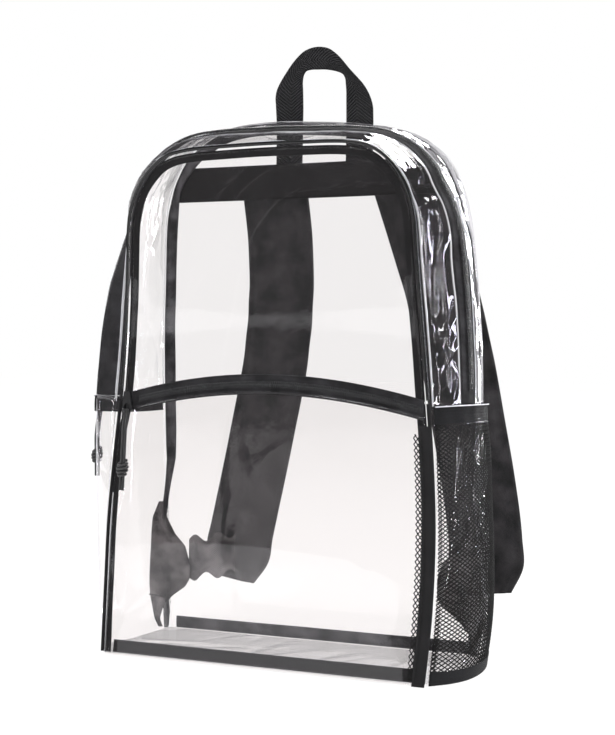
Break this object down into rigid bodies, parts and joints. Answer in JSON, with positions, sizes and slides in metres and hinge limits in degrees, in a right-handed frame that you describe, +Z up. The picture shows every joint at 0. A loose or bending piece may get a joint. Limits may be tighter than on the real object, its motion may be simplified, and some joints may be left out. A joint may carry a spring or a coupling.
{
  "type": "clear stadium backpack",
  "caption": "Clear vinyl backpack with black trim, a domed front, zipped compartment and front pocket, net side pocket, handle and padded shoulder straps.",
  "frame": {"origin": "middle of the underside of the base, on the surface that the bag stands on", "axes": "+Z up from the base to the handle, +X to the right as seen from the front, +Y from front to back"},
  "size_m": [0.3563, 0.1908, 0.505],
  "materials": {
    "clear_vinyl": "clear gloss",
    "black_trim": "woven",
    "net_fabric": "open knit",
    "webbing": "woven",
    "strap_padding": "padded",
    "zip_coil": "satin",
    "slider_metal": "satin",
    "pull_cord": "braided"
  },
  "bodies": {
    "root": {"front_panel": "clear_vinyl", "back_panel": "clear_vinyl", "pocket_panel": "clear_vinyl", "gusset_front": "clear_vinyl", "gusset_rear": "clear_vinyl", "side_panel_left": "clear_vinyl", "side_panel_right": "clear_vinyl", "base_panel": "clear_vinyl", "front_piping": "black_trim", "front_binding": "black_trim", "back_binding": "black_trim", "base_binding_front": "black_trim", "base_binding_back": "black_trim", "main_zip_tape": "black_trim", "pocket_zip_tape": "black_trim", "side_band_left": "black_trim", "side_band_right": "black_trim", "net_binding": "black_trim", "yoke": "black_trim", "anchor_left": "black_trim", "anchor_right": "black_trim", "strap_link_left": "black_trim", "strap_link_right": "black_trim", "net_pocket": "net_fabric", "handle": "webbing", "strap_left": "strap_padding", "strap_right": "strap_padding", "main_zip_coil": "zip_coil", "pocket_zip_coil": "zip_coil", "main_slider": "slider_metal", "pocket_slider": "slider_metal", "main_pull_strand_a": "pull_cord", "main_pull_strand_b": "pull_cord", "main_pull_knot": "pull_cord", "pocket_pull_strand_a": "pull_cord", "pocket_pull_strand_b": "pull_cord", "pocket_pull_knot": "pull_cord"}
  },
  "joints": []
}
